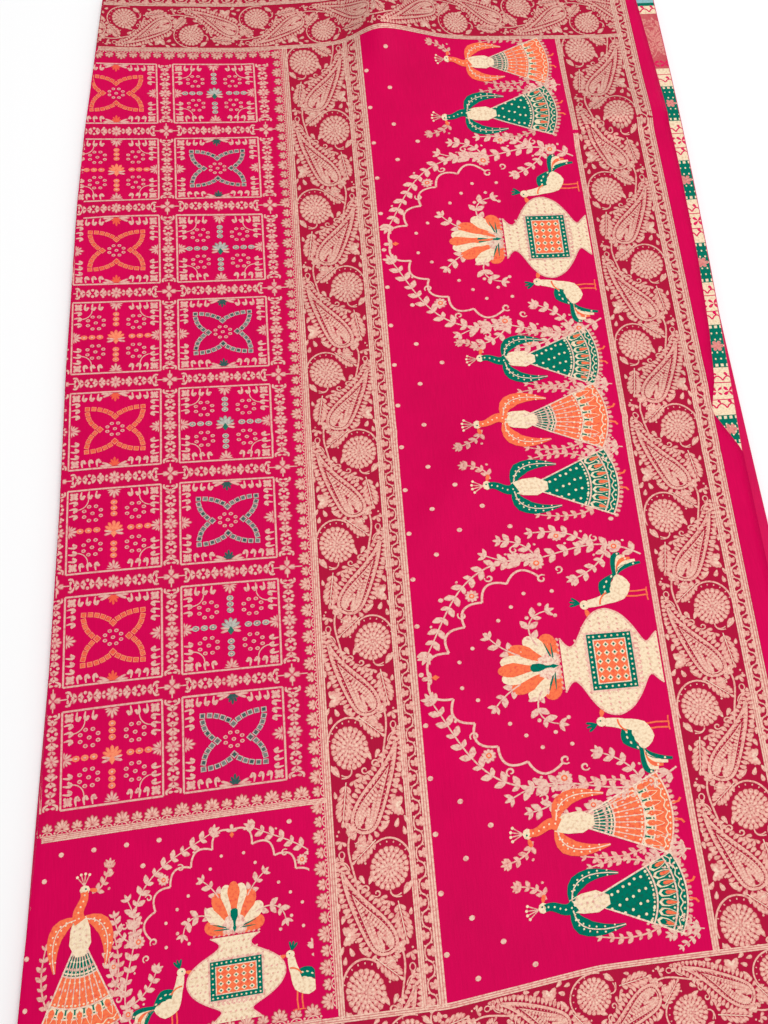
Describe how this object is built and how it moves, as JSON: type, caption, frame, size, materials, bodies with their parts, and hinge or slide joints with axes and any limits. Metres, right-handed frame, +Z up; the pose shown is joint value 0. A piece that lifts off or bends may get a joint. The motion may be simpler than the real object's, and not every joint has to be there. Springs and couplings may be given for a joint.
{
  "type": "banarasi sari",
  "caption": "Silk brocade sari folded back and forth into a flat pile, its pallu uppermost.",
  "frame": {"origin": "centre of the pile's footprint, on the surface that it lies on", "axes": "+Z up through the layers, +Y across the cloth from the near selvedge to the far one, +X along the cloth towards the pallu's end"},
  "size_m": [0.6346, 1.2062, 0.037],
  "materials": {
    "silk": "hot pink silk ground with a fine crosswise rib and a soft sheen",
    "zari": "champagne gold brocade yarn, softly metallic",
    "orange_weft": "orange silk brocade yarn",
    "green_weft": "deep sea green silk brocade yarn",
    "ivory_weft": "ivory silk brocade yarn"
  },
  "bodies": {
    "root": {"sari": "silk"}
  },
  "joints": []
}
